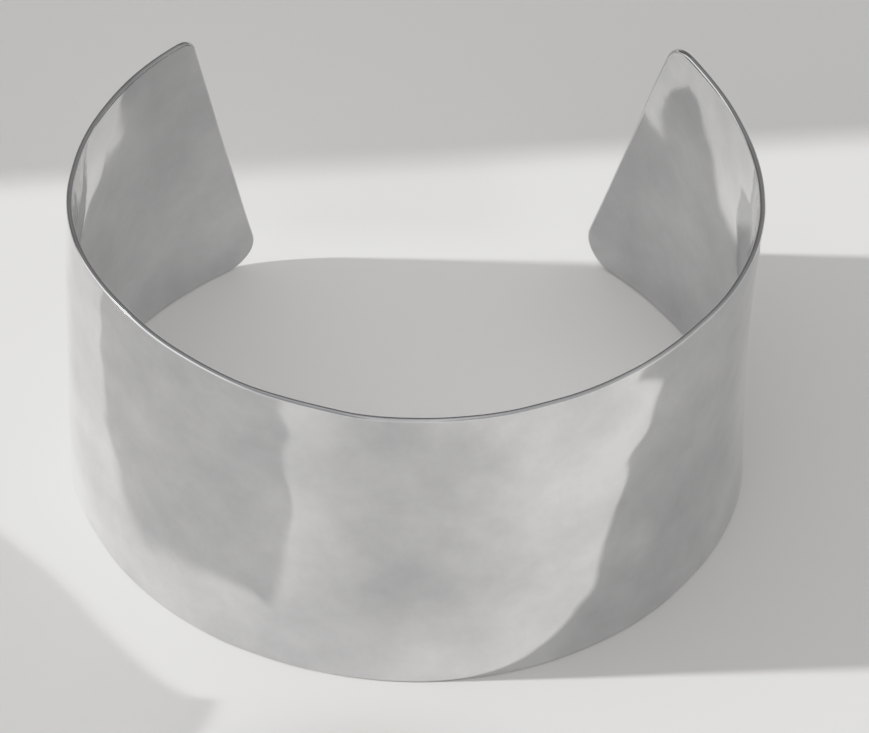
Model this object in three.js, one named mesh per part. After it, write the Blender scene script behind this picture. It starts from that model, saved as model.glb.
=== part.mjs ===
// Wide open cuff bangle: one strip of polished silver sheet, bent into an oval
// that stays open at the back, with slanted ends and rounded corners.
// Millimetres, +Z up. The closed front faces -Y and the opening faces +Y.

import * as THREE from 'three';

// ---- Driving dimensions -------------------------------------------------

const bandHeight = 34.9;      // width of the strip, which stands upright
const sheetThickness = 0.55;
const edgeBreak = 0.12;       // filed edge between the faces and the rim
const frontRadius = 32.7;     // bend of the long front stretch

// The strip is bent by hand, so its two sides differ a little. Runs are
// measured along the outer face from the middle of the front.
//   bendRadius, bendAt, bendSpread   tightest bend, where it is, how far it spreads
//   backRadius                       bend of the stretch that closes in behind
//   lean, waist                      how far the side leans and bows in, lowest rim and mid height
//   curl                             how far the upper end corner is turned in
//   topRun, bottomRun                reach of the slanted end at the two rims
//   topCorner, bottomCorner          corner radii of the end
const sides = {
  left: {
    bendRadius: 16.8, bendAt: 40.9, bendSpread: 6.3, backRadius: 31.4,
    lean: 0.85, waist: -0.21, curl: 0.71,
    topRun: 66.6, bottomRun: 75.6, topCorner: 1.8, bottomCorner: 3.0,
  },
  right: {
    bendRadius: 19.8, bendAt: 44.0, bendSpread: 8.0, backRadius: 35.0,
    lean: 0.68, waist: 0.44, curl: -0.33,
    topRun: 67.6, bottomRun: 77.3, topCorner: 3.2, bottomCorner: 3.2,
  },
};

const leanSpread = 14;        // run over which a side's lean fades out
const curlStart = 48;         // run at which an end starts to curl
const curlLength = 18;

// ---- Mesh density -------------------------------------------------------

const columnsPerSide = 48;
const cornerRows = 5;
const wallRows = 4;
const bendStep = 0.25;        // step of the sum that follows the bend

// ---- The bent line ------------------------------------------------------

function sideOf(run) {
  return run < 0 ? sides.left : sides.right;
}

function curvature(run) {
  const side = sideOf(run);
  const distance = Math.abs(run);
  const front = 1 / frontRadius;
  const back = 1 / side.backRadius;
  const past = THREE.MathUtils.smoothstep(
    distance, side.bendAt - side.bendSpread, side.bendAt + side.bendSpread);
  const tightest = 1 / side.bendRadius - (front + back) / 2;
  const bump = Math.exp(-(((distance - side.bendAt) / side.bendSpread) ** 2));
  return THREE.MathUtils.lerp(front, back, past) + tightest * bump;
}

// Follows the bend outwards from the front and returns where the outer face
// is at a given run, with the direction that points into the hollow.
function pointOnBend(run) {
  const steps = Math.max(1, Math.ceil(Math.abs(run) / bendStep));
  const step = run / steps;
  let heading = 0;
  let x = 0;
  let y = 0;
  for (let i = 0; i < steps; i += 1) {
    const turn = curvature((i + 0.5) * step) * step;
    x += Math.cos(heading + turn / 2) * step;
    y += Math.sin(heading + turn / 2) * step;
    heading += turn;
  }
  return { x, y, inX: -Math.sin(heading), inY: Math.cos(heading) };
}

// How far the wall stands inside the bent line at a run and height.
function wallInset(run, z) {
  const side = sideOf(run);
  const down = 1 - z / bandHeight;
  const distance = Math.abs(run);
  const nearBend = Math.exp(-(((distance - side.bendAt) / leanSpread) ** 2));
  const end = Math.max(0, (distance - curlStart) / curlLength) ** 2;
  const bow = 4 * down * (1 - down);
  return nearBend * (side.lean * down + side.waist * bow) + side.curl * end * (1 - down);
}

function wallPoint(run, z, depth) {
  const bend = pointOnBend(run);
  const inset = depth + wallInset(run, z);
  return [bend.x + inset * bend.inX, bend.y + inset * bend.inY, z];
}

// ---- The flat strip -----------------------------------------------------

// Heights of the rows between the two rims, close together in the corners.
function rowHeights(inset) {
  const low = Math.max(sides.left.bottomCorner, sides.right.bottomCorner);
  const high = Math.max(sides.left.topCorner, sides.right.topCorner);
  const heights = [];
  for (let i = 0; i < cornerRows; i += 1) {
    heights.push(low * (1 - Math.cos((i / cornerRows) * (Math.PI / 2))));
  }
  for (let i = 0; i <= wallRows; i += 1) {
    heights.push(THREE.MathUtils.lerp(low, bandHeight - high, i / wallRows));
  }
  for (let i = cornerRows - 1; i >= 0; i -= 1) {
    heights.push(bandHeight - high * (1 - Math.cos((i / cornerRows) * (Math.PI / 2))));
  }
  return heights.map((z) => THREE.MathUtils.lerp(inset, bandHeight - inset, z / bandHeight));
}

// Reach of a slanted end at a height, rounded at its two corners. The end is
// drawn in by the inset, and so are the rims.
function endReach(side, z, inset) {
  const slope = (side.topRun - side.bottomRun) / bandHeight;
  const secant = Math.hypot(1, slope);
  const onEnd = (height) => side.bottomRun + slope * height - inset * secant;
  const round = (corner, rim, inward) => {
    const radius = corner - inset;
    const centreZ = rim + inward * corner;
    const centreRun = onEnd(centreZ) - radius * secant;
    const tangentZ = centreZ - (radius * slope) / secant;
    const rise = Math.min(Math.abs(z - centreZ), radius);
    return inward * z < inward * tangentZ ? centreRun + Math.sqrt(radius * radius - rise * rise) : null;
  };
  const low = round(side.bottomCorner, 0, 1);
  const high = round(side.topCorner, bandHeight, -1);
  return low ?? high ?? onEnd(z);
}

// One face of the strip as a grid of points, row by row from the lower rim.
function faceGrid(depth, inset) {
  return rowHeights(inset).map((z) => {
    const left = endReach(sides.left, z, inset);
    const right = endReach(sides.right, z, inset);
    const row = [];
    for (let i = -columnsPerSide; i <= columnsPerSide; i += 1) {
      const share = i / columnsPerSide;
      const run = share < 0 ? share * left : share * right;
      row.push(wallPoint(run, z, depth));
    }
    return row;
  });
}

// ---- The solid ----------------------------------------------------------

// The points around the border of a grid, anticlockwise seen from its front.
function borderOf(grid) {
  const last = grid.length - 1;
  const wide = grid[0].length - 1;
  const border = [];
  for (let i = 0; i < wide; i += 1) border.push(grid[0][i]);
  for (let j = 0; j < last; j += 1) border.push(grid[j][wide]);
  for (let i = wide; i > 0; i -= 1) border.push(grid[last][i]);
  for (let j = last; j > 0; j -= 1) border.push(grid[j][0]);
  return border;
}

function makeCuffBand() {
  const positions = [];
  const triangle = (a, b, c) => positions.push(...a, ...b, ...c);
  const quad = (a, b, c, d) => {
    triangle(a, b, c);
    triangle(a, c, d);
  };

  const outerFace = faceGrid(0, edgeBreak);
  const innerFace = faceGrid(sheetThickness, edgeBreak);
  for (let j = 0; j + 1 < outerFace.length; j += 1) {
    for (let i = 0; i + 1 < outerFace[0].length; i += 1) {
      quad(outerFace[j][i], outerFace[j][i + 1], outerFace[j + 1][i + 1], outerFace[j + 1][i]);
      quad(innerFace[j][i], innerFace[j + 1][i], innerFace[j + 1][i + 1], innerFace[j][i + 1]);
    }
  }

  // Bands that close the edge of the sheet: broken edge, flat rim, broken edge.
  const rings = [
    borderOf(outerFace),
    borderOf(faceGrid(edgeBreak, 0)),
    borderOf(faceGrid(sheetThickness - edgeBreak, 0)),
    borderOf(innerFace),
  ];
  for (let r = 0; r + 1 < rings.length; r += 1) {
    for (let i = 0; i < rings[r].length; i += 1) {
      const next = (i + 1) % rings[r].length;
      quad(rings[r][i], rings[r + 1][i], rings[r + 1][next], rings[r][next]);
    }
  }

  const geometry = new THREE.BufferGeometry();
  geometry.setAttribute('position', new THREE.Float32BufferAttribute(positions, 3));
  geometry.computeVertexNormals();
  return geometry;
}

const polishedSilver = new THREE.MeshStandardMaterial({
  name: 'polished_silver',
  color: 0xd9d7d2,
  roughness: 0.12,
  metalness: 1,
});

const cuffBand = new THREE.Mesh(makeCuffBand(), polishedSilver);
cuffBand.name = 'cuff_band';

// The origin is the middle of the footprint, on the surface it rests on.
cuffBand.geometry.computeBoundingBox();
const centre = cuffBand.geometry.boundingBox.getCenter(new THREE.Vector3());
cuffBand.position.set(-centre.x, -centre.y, 0);

const bangle = new THREE.Group();
bangle.name = 'open_cuff_bangle';
bangle.add(cuffBand);

export default bangle;
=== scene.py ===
import math

import bpy
from mathutils import Matrix, Vector


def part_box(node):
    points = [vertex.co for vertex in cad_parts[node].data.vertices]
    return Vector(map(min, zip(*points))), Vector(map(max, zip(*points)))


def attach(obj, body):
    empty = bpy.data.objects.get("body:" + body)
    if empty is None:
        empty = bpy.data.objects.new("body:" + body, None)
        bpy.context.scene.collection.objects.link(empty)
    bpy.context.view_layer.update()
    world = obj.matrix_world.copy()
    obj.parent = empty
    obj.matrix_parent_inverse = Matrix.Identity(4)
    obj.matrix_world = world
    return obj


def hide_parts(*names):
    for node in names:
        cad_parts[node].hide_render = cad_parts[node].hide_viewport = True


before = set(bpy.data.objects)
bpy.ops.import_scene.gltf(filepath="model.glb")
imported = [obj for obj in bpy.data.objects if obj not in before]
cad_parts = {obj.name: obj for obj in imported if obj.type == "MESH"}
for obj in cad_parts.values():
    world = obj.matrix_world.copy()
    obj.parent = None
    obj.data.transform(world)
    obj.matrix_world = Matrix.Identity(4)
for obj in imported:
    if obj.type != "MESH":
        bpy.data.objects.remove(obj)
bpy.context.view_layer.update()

# ---- The cuff ------------------------------------------------------------
# One strip of sterling silver sheet. Its ends are sawn at a slant and its
# corners rounded, then it is planished, bent by hand round an oval mandrel,
# filed along the rim and polished. Nothing is fixed to it.

mm = 0.001
cuff_low, cuff_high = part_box("cuff_band")

band_height = cuff_high.z - cuff_low.z
sheet_thickness = 0.55 * mm
rim_rounding = 0.22 * mm         # filed edge between the faces and the rim

# Runs are measured along the outer face from the middle of the front, and the
# two sides of a hand-bent strip differ a little.
#   bend radius, bend at, bend spread   tightest bend, where it is, how far it spreads
#   back radius                         bend of the stretch that closes in behind
#   lean, waist                         how far the side leans and bows in
#   curl                                how far the upper end corner is turned in
left_side = {
    "bend radius": 16.8 * mm, "bend at": 40.9 * mm, "bend spread": 6.3 * mm, "back radius": 31.4 * mm,
    "lean": 0.85 * mm, "waist": -0.21 * mm, "curl": 0.71 * mm,
}
right_side = {
    "bend radius": 19.8 * mm, "bend at": 44.0 * mm, "bend spread": 8.0 * mm, "back radius": 35.0 * mm,
    "lean": 0.68 * mm, "waist": 0.44 * mm, "curl": -0.33 * mm,
}
bend_sizes = {
    "front radius": 32.7 * mm,
    "lean spread": 14 * mm,      # run over which a side's lean fades out
    "curl start": 48 * mm,       # run at which an end starts to curl
    "curl length": 18 * mm,
    "band height": band_height,
}

# Planishing leaves broad ripples, about as wide as the hammer's face, and small
# ones between them. A level is the share of a ripple's depth that stands outside
# the bend line, and the small ones die down towards the ends.
ripple_sizes = {
    "ripple depth": 0.30 * mm, "ripple width": 9 * mm,
    "ripple level": 0.28, "ripple seed": 3.0,
    "small ripple depth": 0.11 * mm, "small ripple width": 4 * mm,
    "small ripple level": 0.4, "small ripple seed": 52.0,
    "calmer from": 45 * mm, "calmest at": 60 * mm, "calm share": 0.3,
}

# Single marks of the hammer: the run, height, width and depth of each, in
# millimetres. One with a negative depth was raised from the inside.
planish_marks = [
    (21.0, 29.5, 3.8, 0.18),
    (28.0, 29.5, 3.8, -0.18),
    (24.0, 16.5, 5.0, 0.16),
    (16.5, 16.0, 5.0, -0.12),
    (-14.0, 20.0, 4.5, 0.14),
    (-6.5, 20.0, 4.5, -0.12),
    (-8.5, 35.0, 3.5, 0.12),
    (-15.3, 29.5, 2.2, 0.05),
    (-15.3, 25.2, 2.2, -0.035),
    (-15.3, 20.0, 2.4, 0.05),
    (66.0, 27.0, 7.0, 0.30),
    (67.0, 27.5, 3.5, 0.09),
    (70.0, 34.0, 4.0, -0.2),
    (69.0, 24.5, 3.0, 0.06),
    (17.0, 1.5, 4.0, 0.08),
    (-51.5, 19.5, 4.0, 0.16),
    (-36.0, 35.0, 16.0, -0.20),
]

# How far each slanted end reaches at the two rims, and the radii of its corners.
left_end = {
    "top run": 66.6 * mm, "bottom run": 75.6 * mm,
    "top corner": 1.8 * mm, "bottom corner": 3.0 * mm,
}
right_end = {
    "top run": 67.6 * mm, "bottom run": 77.3 * mm,
    "top corner": 3.2 * mm, "bottom corner": 3.2 * mm,
}

# Columns along each side and rows up the wall. Crowding draws the columns
# together near the ends, and the rows near both rims, where the corners are.
side_columns = 180
wall_rows = 108
end_crowding = 0.8
rim_crowding = 0.85
edge_angles = (18, 36, 54, 72, 90)    # degrees round the filed edge, from a face to the rim


def end_reach(end, z, inset):
    """How far a slanted end reaches at a height, with its corners rounded and all drawn in by inset."""
    slope = (end["top run"] - end["bottom run"]) / band_height
    secant = math.hypot(1, slope)
    for corner, rim, inward in ((end["bottom corner"], 0, 1), (end["top corner"], band_height, -1)):
        radius = corner - inset
        centre_z = rim + inward * corner
        centre_run = end["bottom run"] + slope * centre_z - (inset + radius) * secant
        if inward * z < inward * (centre_z - radius * slope / secant):
            rise = min(abs(z - centre_z), radius)
            return centre_run + math.sqrt(radius**2 - rise**2)
    return end["bottom run"] + slope * z - inset * secant


def blank_face(depth, inset):
    """One face of the flat strip, row by row from the lower rim, as lists of (run, depth, height)."""
    face = []
    for j in range(wall_rows + 1):
        up_wall = j / wall_rows
        up_wall -= rim_crowding * math.sin(2 * math.pi * up_wall) / (2 * math.pi)
        z = inset + up_wall * (band_height - 2 * inset)
        left = end_reach(left_end, z, inset)
        right = end_reach(right_end, z, inset)
        row = []
        for i in range(-side_columns, side_columns + 1):
            along_side = abs(i) / side_columns
            along_side += end_crowding * math.sin(math.pi * along_side) / math.pi
            row.append((-along_side * left if i < 0 else along_side * right, depth, z))
        face.append(row)
    return face


def flat_blank():
    """The strip before it is bent: two faces, and an edge that is rounded from each face to the rim."""
    points, faces = [], []

    def number(grid):
        """Adds a grid's points and returns the grid of their numbers."""
        start = len(points)
        for row in grid:
            points.extend(row)
        return [[start + j * len(grid[0]) + i for i in range(len(grid[0]))] for j in range(len(grid))]

    def border(grid):
        """What stands round the border of a grid, once round from its first corner."""
        last = len(grid) - 1
        sides = grid[0][:-1] + [row[-1] for row in grid[:-1]]
        return sides + grid[last][:0:-1] + [row[0] for row in grid[last:0:-1]]

    outer = number(blank_face(0, rim_rounding))
    inner = number(blank_face(sheet_thickness, rim_rounding))
    for j in range(wall_rows):
        for i in range(2 * side_columns):
            faces.append((outer[j][i], outer[j][i + 1], outer[j + 1][i + 1], outer[j + 1][i]))
            faces.append((inner[j][i], inner[j + 1][i], inner[j + 1][i + 1], inner[j][i + 1]))

    # Rings of points that follow the filed edge from the outer face to the inner one.
    turns = [math.radians(a) for a in edge_angles]
    depths = [rim_rounding * (1 - math.cos(a)) for a in turns]
    insets = [rim_rounding * (1 - math.sin(a)) for a in turns]
    depths += [sheet_thickness - d for d in reversed(depths)]
    insets += list(reversed(insets))
    rings = [border(outer)]
    for depth, inset in zip(depths, insets):
        ring = border(blank_face(depth, inset))
        rings.append([len(points) + i for i in range(len(ring))])
        points.extend(ring)
    rings.append(border(inner))
    for near, far in zip(rings, rings[1:]):
        for i in range(len(near)):
            k = (i + 1) % len(near)
            faces.append((near[i], far[i], far[k], near[k]))
    mesh = bpy.data.meshes.new("flat_blank")
    mesh.from_pydata(points, [], faces)
    return mesh


def add_node(tree, kind, inputs, **settings):
    """Adds a node with its settings. inputs are values or links for its sockets, in order or by name."""
    node = tree.nodes.new(kind)
    for name, value in settings.items():
        setattr(node, name, value)
    if not isinstance(inputs, dict):
        usable = [socket for socket in node.inputs if socket.enabled and not socket.is_unavailable]
        inputs = {socket.identifier: given for socket, given in zip(usable, inputs)}
    for name, given in inputs.items():
        socket = next(s for s in node.inputs if name in (s.identifier, s.name) and s.enabled)
        if isinstance(given, bpy.types.Node):
            given = next(s for s in given.outputs if s.enabled and not s.is_unavailable)
        if isinstance(given, bpy.types.NodeSocket):
            tree.links.new(given, socket)
        else:
            socket.default_value = given
    return node


# The tree bends the flat blank. Its first part follows the bend line, and its
# second sets every point of the blank inwards from that line.
bending = bpy.data.node_groups.new("planish_and_bend", "GeometryNodeTree")
bending.interface.new_socket("Blank", in_out="INPUT", socket_type="NodeSocketGeometry")
bending.interface.new_socket("Cuff", in_out="OUTPUT", socket_type="NodeSocketGeometry")
bend_inputs = {**bend_sizes, **ripple_sizes}
for name in left_side:
    bend_inputs["left " + name] = left_side[name]
    bend_inputs["right " + name] = right_side[name]
identifiers = {}
for name in bend_inputs:
    socket = bending.interface.new_socket(name, in_out="INPUT", socket_type="NodeSocketFloat")
    identifiers[name] = socket.identifier
group_input = add_node(bending, "NodeGroupInput", [])
size = {socket.name: socket for socket in group_input.outputs}

flat_point = add_node(bending, "GeometryNodeInputPosition", [])
run, depth, height = add_node(bending, "ShaderNodeSeparateXYZ", [flat_point]).outputs
on_right = add_node(
    bending, "FunctionNodeCompare", [run, 0.0], data_type="FLOAT", operation="GREATER_THAN")
for name in left_side:
    size[name] = add_node(
        bending, "GeometryNodeSwitch", [on_right, size["left " + name], size["right " + name]],
        input_type="FLOAT")

# Curvature at a run: the front's, turning into the back's, with the tight bend between.
distance = add_node(bending, "ShaderNodeMath", [run], operation="ABSOLUTE")
past_bend = add_node(bending, "ShaderNodeMath", [distance, size["bend at"]], operation="SUBTRACT")
spreads = add_node(bending, "ShaderNodeMath", [past_bend, size["bend spread"]], operation="DIVIDE")
front = add_node(bending, "ShaderNodeMath", [1.0, size["front radius"]], operation="DIVIDE")
back = add_node(bending, "ShaderNodeMath", [1.0, size["back radius"]], operation="DIVIDE")
tight = add_node(bending, "ShaderNodeMath", [1.0, size["bend radius"]], operation="DIVIDE")
both = add_node(bending, "ShaderNodeMath", [front, back], operation="ADD")
extra = add_node(bending, "ShaderNodeMath", [both, -0.5, tight], operation="MULTIPLY_ADD")
easy = add_node(
    bending, "ShaderNodeMapRange", [spreads, -1.0, 1.0, front, back], interpolation_type="SMOOTHSTEP")
squared = add_node(bending, "ShaderNodeMath", [spreads, spreads], operation="MULTIPLY")
negative = add_node(bending, "ShaderNodeMath", [squared, -1.0], operation="MULTIPLY")
near_bend = add_node(bending, "ShaderNodeMath", [negative], operation="EXPONENT")
curvature = add_node(bending, "ShaderNodeMath", [near_bend, extra, easy], operation="MULTIPLY_ADD")

# The bend line: headings add up along a straight line's points, then steps in
# those headings do. Both sums are taken from the middle of the front.
line_reach = 80 * mm
line_points = 3201
line_step = 2 * line_reach / (line_points - 1)
middle = (line_points - 1) // 2
line = add_node(
    bending, "GeometryNodeMeshLine",
    {"Count": line_points, "Start Location": (-line_reach, 0, 0), "Offset": (line_step, 0, 0)},
    mode="OFFSET")
turn = add_node(bending, "ShaderNodeMath", [curvature, line_step], operation="MULTIPLY")
turned = add_node(bending, "GeometryNodeAccumulateField", [turn], data_type="FLOAT").outputs["Leading"]
half_turn = add_node(bending, "ShaderNodeMath", [turn, -0.5, turned], operation="MULTIPLY_ADD")
at_front = add_node(
    bending, "GeometryNodeFieldAtIndex", {"Index": middle, "Value": half_turn}, data_type="FLOAT")
heading = add_node(bending, "ShaderNodeMath", [half_turn, at_front], operation="SUBTRACT")
along = add_node(bending, "ShaderNodeMath", [heading], operation="COSINE")
across = add_node(bending, "ShaderNodeMath", [heading], operation="SINE")
direction = add_node(bending, "ShaderNodeCombineXYZ", [along, across, 0.0])
step = add_node(
    bending, "ShaderNodeVectorMath", {"Vector": direction, "Scale": line_step}, operation="SCALE")
walked = add_node(
    bending, "GeometryNodeAccumulateField", [step], data_type="FLOAT_VECTOR").outputs["Leading"]
half_step = add_node(
    bending, "ShaderNodeVectorMath", [step, (-0.5, -0.5, -0.5), walked], operation="MULTIPLY_ADD")
start = add_node(
    bending, "GeometryNodeFieldAtIndex", {"Index": middle, "Value": half_step},
    data_type="FLOAT_VECTOR")
line_place = add_node(bending, "ShaderNodeVectorMath", [half_step, start], operation="SUBTRACT")
bent_line = add_node(bending, "GeometryNodeSetPosition", {"Geometry": line, "Position": line_place})
bend_line = add_node(bending, "GeometryNodeMeshToCurve", {"Mesh": bent_line})

# The wall leans and bows in a little at its sides, and the upper corners of its ends curl.
up_share = add_node(bending, "ShaderNodeMath", [height, size["band height"]], operation="DIVIDE")
down_share = add_node(bending, "ShaderNodeMath", [1.0, up_share], operation="SUBTRACT")
side_spreads = add_node(bending, "ShaderNodeMath", [past_bend, size["lean spread"]], operation="DIVIDE")
side_squared = add_node(bending, "ShaderNodeMath", [side_spreads, side_spreads], operation="MULTIPLY")
side_negative = add_node(bending, "ShaderNodeMath", [side_squared, -1.0], operation="MULTIPLY")
near_side = add_node(bending, "ShaderNodeMath", [side_negative], operation="EXPONENT")
up_and_down = add_node(bending, "ShaderNodeMath", [down_share, up_share], operation="MULTIPLY")
bow = add_node(bending, "ShaderNodeMath", [up_and_down, 4.0], operation="MULTIPLY")    # 1 at mid height
bowed = add_node(bending, "ShaderNodeMath", [bow, size["waist"]], operation="MULTIPLY")
leant = add_node(bending, "ShaderNodeMath", [down_share, size["lean"], bowed], operation="MULTIPLY_ADD")
at_side = add_node(bending, "ShaderNodeMath", [near_side, leant], operation="MULTIPLY")
past_curl = add_node(bending, "ShaderNodeMath", [distance, size["curl start"]], operation="SUBTRACT")
curl_share = add_node(bending, "ShaderNodeMath", [past_curl, size["curl length"]], operation="DIVIDE")
curl_begun = add_node(bending, "ShaderNodeMath", [curl_share, 0.0], operation="MAXIMUM")
curl_squared = add_node(bending, "ShaderNodeMath", [curl_begun, curl_begun], operation="MULTIPLY")
curl_up = add_node(bending, "ShaderNodeMath", [curl_squared, up_share], operation="MULTIPLY")
wall_inset = add_node(
    bending, "ShaderNodeMath", [curl_up, size["curl"], at_side], operation="MULTIPLY_ADD")

# The broad ripples, the small ones, and then the single marks of the hammer.
flat_place = add_node(bending, "ShaderNodeCombineXYZ", [run, height, 0.0])
ripple_scale = add_node(bending, "ShaderNodeMath", [1.0, size["ripple width"]], operation="DIVIDE")
ripples = add_node(
    bending, "ShaderNodeTexNoise",
    {"Vector": flat_place, "W": size["ripple seed"], "Scale": ripple_scale, "Detail": 0.0},
    noise_dimensions="4D")
mostly_in = add_node(
    bending, "ShaderNodeMath", [ripples.outputs[0], size["ripple level"]], operation="SUBTRACT")
rippled = add_node(
    bending, "ShaderNodeMath", [mostly_in, size["ripple depth"], wall_inset], operation="MULTIPLY_ADD")
small_scale = add_node(bending, "ShaderNodeMath", [1.0, size["small ripple width"]], operation="DIVIDE")
small_ripples = add_node(
    bending, "ShaderNodeTexNoise",
    {"Vector": flat_place, "W": size["small ripple seed"], "Scale": small_scale, "Detail": 0.0},
    noise_dimensions="4D")
small_in = add_node(
    bending, "ShaderNodeMath", [small_ripples.outputs[0], size["small ripple level"]],
    operation="SUBTRACT")
calm = add_node(
    bending, "ShaderNodeMapRange",
    [distance, size["calmer from"], size["calmest at"], 1.0, size["calm share"]])
calmed = add_node(bending, "ShaderNodeMath", [small_in, calm], operation="MULTIPLY")
dented = add_node(
    bending, "ShaderNodeMath", [calmed, size["small ripple depth"], rippled], operation="MULTIPLY_ADD")
for mark_run, mark_height, mark_width, mark_depth in planish_marks:
    spot = (mark_run * mm, mark_height * mm, 0.0)
    away = add_node(
        bending, "ShaderNodeVectorMath", [flat_place, spot], operation="DISTANCE").outputs["Value"]
    widths = add_node(bending, "ShaderNodeMath", [away, mark_width * mm], operation="DIVIDE")
    widths_squared = add_node(bending, "ShaderNodeMath", [widths, widths], operation="MULTIPLY")
    fading = add_node(bending, "ShaderNodeMath", [widths_squared, -1.0], operation="MULTIPLY")
    dip = add_node(bending, "ShaderNodeMath", [fading], operation="EXPONENT")
    dented = add_node(
        bending, "ShaderNodeMath", [dip, mark_depth * mm, dented], operation="MULTIPLY_ADD")
inset = add_node(bending, "ShaderNodeMath", [depth, dented], operation="ADD")

# Each point goes to its run on the bend line, then inwards, then up to its height.
line_run = add_node(bending, "ShaderNodeMath", [run, line_reach], operation="ADD")
on_line = add_node(
    bending, "GeometryNodeSampleCurve", {"Curves": bend_line, "Length": line_run}, mode="LENGTH",
    use_all_curves=True)
inward = add_node(
    bending, "ShaderNodeVectorMath", [(0, 0, 1), on_line.outputs["Tangent"]], operation="CROSS_PRODUCT")
set_in = add_node(bending, "ShaderNodeVectorMath", {"Vector": inward, "Scale": inset}, operation="SCALE")
on_wall = add_node(
    bending, "ShaderNodeVectorMath", [on_line.outputs["Position"], set_in], operation="ADD")
up = add_node(bending, "ShaderNodeCombineXYZ", [0.0, 0.0, height])
bent_place = add_node(bending, "ShaderNodeVectorMath", [on_wall, up], operation="ADD")

# The silver reads how far through the sheet a point is: 0 on the outer face, 1 on the inner.
inside = add_node(bending, "ShaderNodeMath", [depth, sheet_thickness], operation="DIVIDE")
marked = add_node(
    bending, "GeometryNodeStoreNamedAttribute",
    {"Geometry": size["Blank"], "Name": "inside", "Value": inside}, data_type="FLOAT", domain="POINT")
bent = add_node(bending, "GeometryNodeSetPosition", {"Geometry": marked, "Position": bent_place})
smooth = add_node(bending, "GeometryNodeSetShadeSmooth", {"Geometry": bent})
real = add_node(bending, "GeometryNodeRealizeInstances", {"Geometry": smooth})

# Sterling silver, planished, polished and then buffed by hand. It gives the eye
# a mirror with a faint haze, in clouds of brighter and duller metal where the
# polish has worn, partly painted light and shade of what the mirror shows, and
# a painted grey shade on the inner face that darkens its reflections towards the
# top and on the left.
# The two cloud tones are partly wear in the polish and partly painted light and shade of what the mirror
# shows.
bright_silver = "#E7E7E8"
worn_silver_and_painted_shade = "#C8C8CA"
# Painted shade: the grey that darkens what the inner face mirrors.
painted_inner_shade_grey = "#DBDBDB"
cloud_width, cloud_seed = 18 * mm, 95.0
small_cloud_width, small_cloud_seed = 10 * mm, 91.0
small_cloud_share = 0.47
dull_below, bright_above = 0.38, 0.62    # where in the clouds the two tones end
haze_low, haze_high = 0.035, 0.075
painted_shade_spread = 30 * mm                 # how far to each side the painted shade changes
painted_shade_on_right = 0.55                  # the painted shade's strength there, where the left's is 1


def linear(hex_colour):
    """The linear colour, with alpha, of an sRGB hex value."""
    values = [int(hex_colour[i:i + 2], 16) / 255 for i in (1, 3, 5)]
    return [v / 12.92 if v <= 0.04045 else ((v + 0.055) / 1.055) ** 2.4 for v in values] + [1.0]


silver = bpy.data.materials.new("polished_sterling_silver")
silver.use_nodes = True
finish = silver.node_tree
finish.nodes.clear()
on_cuff = add_node(finish, "ShaderNodeTexCoord", []).outputs["Object"]
broad_clouds = add_node(
    finish, "ShaderNodeTexNoise",
    {"Vector": on_cuff, "W": cloud_seed, "Scale": 1 / cloud_width, "Detail": 2.0, "Roughness": 0.5},
    noise_dimensions="4D")
small_clouds = add_node(
    finish, "ShaderNodeTexNoise",
    {"Vector": on_cuff, "W": small_cloud_seed, "Scale": 1 / small_cloud_width, "Detail": 5.0,
     "Roughness": 0.68},
    noise_dimensions="4D")
# Clouds of brighter and duller silver: worn polish, and painted light and shade that stands in for the
# mottled light the mirror shows.
clouds = add_node(
    finish, "ShaderNodeMix",
    {"Factor": small_cloud_share, "A": broad_clouds.outputs[0], "B": small_clouds.outputs[0]},
    data_type="FLOAT")
wear_and_painted_light_patches = add_node(finish, "ShaderNodeMapRange", [clouds, dull_below, bright_above])
tone = add_node(
    finish, "ShaderNodeMix",
    {"Factor": wear_and_painted_light_patches, "A": linear(worn_silver_and_painted_shade), "B": linear(bright_silver)}, data_type="RGBA")
# Painted shade on the inner face, strongest at the top and on the left, darkening its reflections.
inner_face = add_node(finish, "ShaderNodeAttribute", [], attribute_name="inside").outputs["Fac"]
across_cuff, _, up_cuff = add_node(finish, "ShaderNodeSeparateXYZ", [on_cuff]).outputs
more_at_top = add_node(finish, "ShaderNodeMapRange", [up_cuff, 0.0, band_height, 0.0, 1.0])
less_on_right = add_node(
    finish, "ShaderNodeMapRange",
    [across_cuff, -painted_shade_spread, painted_shade_spread, 1.0, painted_shade_on_right])
painted_shade_share = add_node(finish, "ShaderNodeMath", [more_at_top, less_on_right], operation="MULTIPLY")
painted_inner_shade = add_node(finish, "ShaderNodeMath", [painted_shade_share, inner_face], operation="MULTIPLY")
painted_inner_shade_tint = add_node(
    finish, "ShaderNodeMix",
    {"Factor": painted_inner_shade, "A": linear("#FFFFFF"), "B": linear(painted_inner_shade_grey)}, data_type="RGBA")
shaded = add_node(
    finish, "ShaderNodeMix",
    {"Factor": 1.0, "A": tone.outputs["Result"], "B": painted_inner_shade_tint.outputs["Result"]},
    data_type="RGBA", blend_type="MULTIPLY")
haze = add_node(
    finish, "ShaderNodeMapRange", [small_clouds.outputs[0], 0.35, 0.65, haze_low, haze_high])

# Buffing leaves waves about a tenth of a millimetre wide. They are too fine to
# show, so they are drawn coarser, and shallow enough to keep the mirror.
buffing_width = 2.5 * mm
buffing_depth = 0.006 * mm
buffing = add_node(
    finish, "ShaderNodeTexNoise",
    {"Vector": on_cuff, "Scale": 1 / buffing_width, "Detail": 2.0, "Roughness": 0.5})
wavy = add_node(
    finish, "ShaderNodeBump",
    {"Strength": 1.0, "Distance": buffing_depth, "Height": buffing.outputs[0]})
metal = add_node(
    finish, "ShaderNodeBsdfPrincipled",
    {"Base Color": shaded.outputs["Result"], "Metallic": 1.0, "Roughness": haze, "Normal": wavy})
add_node(finish, "ShaderNodeOutputMaterial", {"Surface": metal})

dressed = add_node(bending, "GeometryNodeSetMaterial", {"Geometry": real, "Material": silver})
add_node(bending, "NodeGroupOutput", [dressed])

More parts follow.
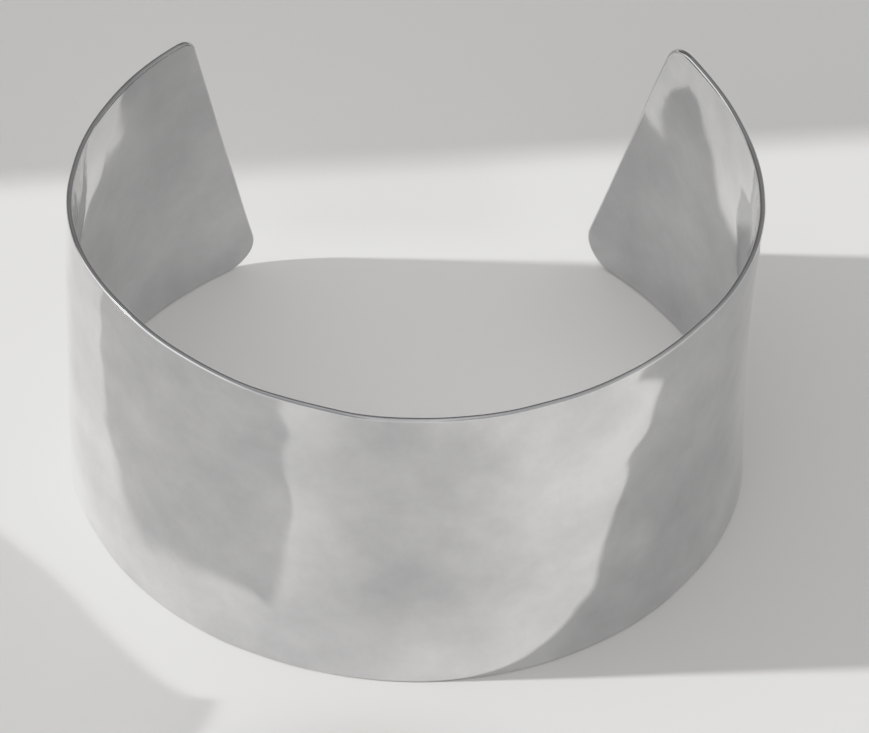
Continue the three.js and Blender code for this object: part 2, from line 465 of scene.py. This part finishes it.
blank = bpy.data.objects.new("cuff_blank", flat_blank())
bpy.context.scene.collection.objects.link(blank)
bender = blank.modifiers.new("planish_and_bend", "NODES")
bender.node_group = bending
for name, value in bend_inputs.items():
    bender[identifiers[name]] = value
evaluated = blank.evaluated_get(bpy.context.evaluated_depsgraph_get())
cuff_mesh = bpy.data.meshes.new_from_object(evaluated)
bpy.data.objects.remove(blank)
cuff = bpy.data.objects.new("polished_cuff", cuff_mesh)
bpy.context.scene.collection.objects.link(cuff)

# The bend line starts at the middle of the front, and the cuff's box is centred on the frame's.
corners = [Vector(c) for c in cuff.bound_box]
middle_of_cuff = (corners[0] + corners[6]) / 2
middle_of_box = (cuff_low + cuff_high) / 2
cuff_mesh.transform(Matrix.Translation((
    middle_of_box.x - middle_of_cuff.x, middle_of_box.y - middle_of_cuff.y, 0)))
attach(cuff, "root")
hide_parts("cuff_band")

# ---- The table -----------------------------------------------------------
# A flat, pale tabletop of plaster that the cuff stands on. It reaches well past
# the view on every side, because it is most of what the silver mirrors.

table_half = 1500 * mm
plaster_white = "#E6E5E3"

table_mesh = bpy.data.meshes.new("tabletop")
table_mesh.from_pydata(
    [(x * table_half, y * table_half, 0) for x, y in ((-1, -1), (1, -1), (1, 1), (-1, 1))],
    [], [(0, 1, 2, 3)])
tabletop = bpy.data.objects.new("tabletop", table_mesh)
bpy.context.scene.collection.objects.link(tabletop)

# Plaster, trowelled smooth and left bare: matt to the eye, with next to no gloss from the lamps.
plaster = bpy.data.materials.new("matt_plaster_tabletop")
plaster.use_nodes = True
surface = plaster.node_tree
surface.nodes.clear()
matt = add_node(
    surface, "ShaderNodeBsdfPrincipled",
    {"Base Color": linear(plaster_white), "Roughness": 0.9, "Specular IOR Level": 0.2})
add_node(surface, "ShaderNodeOutputMaterial", {"Surface": matt})
table_mesh.materials.append(plaster)

# ---- The light -----------------------------------------------------------
# A low key light from the left, with cards of gauze that shade the table, and a
# room round it. The silver mirrors the edges of the shade.

key_elevation = math.radians(22)
key_heading = math.radians(5.4)
key_travel = Vector((
    math.cos(key_elevation) * math.cos(key_heading),
    math.cos(key_elevation) * math.sin(key_heading),
    -math.sin(key_elevation)))
key = bpy.data.lights.new("key", "SUN")
key.energy = 3.3
key.angle = math.radians(2.2)
key.color = (1.0, 0.995, 0.985)
key_lamp = bpy.data.objects.new("key", key)
key_lamp.rotation_mode = "QUATERNION"
key_lamp.rotation_quaternion = key_travel.to_track_quat("-Z", "Y")
bpy.context.scene.collection.objects.link(key_lamp)

# Each card: how far it stands back along the light, which sets how soft its edge
# is, how much light it lets through, and the outline, in millimetres, of the
# shade it casts on the table.
shades = {
    "front_left_card": (25 * mm, 0.31, [
        (-90, 1), (-70, 1), (-55, 0), (-48.4, -1.3), (-43, -5), (-38, -8.6), (-34.6, -11.4),
        (-31.2, -14.6), (-28.7, -17.5), (-26.6, -20.4), (-24.4, -23.1), (-21.2, -26.6), (-18.4, -28.8),
        (-15.6, -29), (-16.5, -32), (-18.3, -34.6), (-20, -37), (-22.5, -39.5), (-25, -42),
        (-27, -46.5), (-30, -51), (-33, -56), (-60, -70), (-90, -60)]),
    "front_card": (200 * mm, 0.50, [
        (-12, -30), (6, -32), (9, -38), (18, -48), (24, -80), (-30, -80), (-19, -46)]),
    "gap_card": (120 * mm, 0.70, [
        (-26, 27), (10, 28), (10, 45), (-26, 45)]),
    "back_card": (120 * mm, 0.0, [
        (-140, 18), (-37, 31.8), (40, 42), (140, 55.5), (140, 400), (-140, 400)]),
}
for name, (distance_back, let_through, outline) in shades.items():
    # Cotton gauze, woven open or close. It thins the light that falls through it,
    # and neither the eye nor the silver meets the card itself.
    gauze = bpy.data.materials.new(name + "_gauze")
    gauze.use_nodes = True
    weave = gauze.node_tree
    weave.nodes.clear()
    veil = add_node(
        weave, "ShaderNodeBsdfTransparent", {"Color": (let_through, let_through, let_through, 1.0)})
    add_node(weave, "ShaderNodeOutputMaterial", {"Surface": veil})
    card_mesh = bpy.data.meshes.new(name)
    back_up = -distance_back * key_travel
    card_mesh.from_pydata(
        [Vector((x * mm, y * mm, 0)) + back_up for x, y in outline], [], [range(len(outline))])
    card_mesh.materials.append(gauze)
    card = bpy.data.objects.new(name, card_mesh)
    card.visible_camera = False
    card.visible_glossy = False
    card.visible_diffuse = False
    bpy.context.scene.collection.objects.link(card)

# Faint light from the other side of the room.
fill = bpy.data.lights.new("fill", "SUN")
fill.energy = 0.18
fill.angle = math.radians(60)
fill_lamp = bpy.data.objects.new("fill", fill)
fill_lamp.rotation_mode = "QUATERNION"
fill_lamp.rotation_quaternion = Vector((-0.7, 0.0, -0.8)).to_track_quat("-Z", "Y")
fill_lamp.visible_glossy = False
bpy.context.scene.collection.objects.link(fill_lamp)

# Light that the polished inside throws down into the hollow, as one lamp across its mouth.
bounce = bpy.data.lights.new("inside_bounce", "AREA")
bounce.shape = "ELLIPSE"
bounce.size = 56 * mm
bounce.size_y = 45 * mm
bounce.energy = 0.0021
bounce_lamp = bpy.data.objects.new("inside_bounce", bounce)
bounce_lamp.location = (5 * mm, 3 * mm, 34 * mm)
bounce_lamp.visible_camera = False
bpy.context.scene.collection.objects.link(bounce_lamp)

# The room lights the table evenly. The silver mirrors more of it: a window on
# the left, walls that are paler in front of the cuff than behind it and paler on
# the right, and a pale strip of ceiling over the middle.
even_strength = 0.58
window_strength = 0.85
front_strength = 0.2
wall_on_left, wall_on_right = 0.18, 0.29
ceiling_strength = 0.32

room = bpy.data.worlds.new("evenly_lit_room")
room.use_nodes = True
bpy.context.scene.world = room
air = room.node_tree
air.nodes.clear()
outwards = add_node(air, "ShaderNodeTexCoord", []).outputs["Generated"]
to_right, to_back, _ = add_node(air, "ShaderNodeSeparateXYZ", [outwards]).outputs
window = add_node(air, "ShaderNodeMapRange", [to_right, -0.5, -0.75, 0.0, window_strength])
not_behind = add_node(air, "ShaderNodeMapRange", [to_back, 0.4, 0.22, 0.0, 1.0])
off_middle = add_node(air, "ShaderNodeMath", [to_right], operation="ABSOLUTE")
ceiling = add_node(air, "ShaderNodeMapRange", [off_middle, 0.25, 0.1, 0.0, ceiling_strength])
over_back = add_node(air, "ShaderNodeMapRange", [to_back, 0.70, 0.60, 0.0, 1.0])
in_front = add_node(air, "ShaderNodeMath", [window, front_strength], operation="ADD")
dim_wall = add_node(air, "ShaderNodeMapRange", [to_right, 0.1, 0.4, wall_on_left, wall_on_right])
walls = add_node(air, "ShaderNodeMath", [in_front, not_behind, dim_wall], operation="MULTIPLY_ADD")
mirrored = add_node(air, "ShaderNodeMath", [ceiling, over_back, walls], operation="MULTIPLY_ADD")
path = add_node(air, "ShaderNodeLightPath", [])
strength = add_node(
    air, "ShaderNodeMix", {"Factor": path.outputs["Is Glossy Ray"], "A": even_strength, "B": mirrored},
    data_type="FLOAT")
glow = add_node(air, "ShaderNodeBackground", {"Color": linear("#FFFFFF"), "Strength": strength})
add_node(air, "ShaderNodeOutputWorld", {"Surface": glow})
bpy.context.scene.cycles.glossy_bounces = 12    # light that runs round inside the cuff

# ---- The camera ----------------------------------------------------------
# Looks down at the closed front from far off, with a long lens. Its brightest
# tones roll off gently below white.

camera_distance = 1.564
look_down = math.radians(48)
roll = math.radians(2.43)
aim = Vector((2.245 * mm, 11.82 * mm, 0))
roll_off_points = ((0.65, 0.65), (0.72, 0.715), (0.80, 0.755), (0.90, 0.785))
brightest_tone = 0.8

camera_data = bpy.data.cameras.new("camera")
camera_data.lens = 715.7
camera_data.sensor_width = 36
camera_data.clip_end = 10
camera = bpy.data.objects.new("camera", camera_data)
camera.matrix_world = (
    Matrix.Translation(aim + camera_distance * Vector((0, -math.cos(look_down), math.sin(look_down))))
    @ Matrix.Rotation(math.pi / 2 - look_down, 4, "X") @ Matrix.Rotation(roll, 4, "Z"))
bpy.context.scene.collection.objects.link(camera)
bpy.context.scene.camera = camera

view = bpy.context.scene.view_settings
view.view_transform = "Standard"
view.use_curve_mapping = True
tone_map = view.curve_mapping
all_channels = tone_map.curves[3]
for tone_in, tone_out in roll_off_points:
    all_channels.points.new(tone_in, tone_out)
all_channels.points[-1].location = (1.0, brightest_tone)
tone_map.extend = "HORIZONTAL"
tone_map.update()

bpy.context.view_layer.update()
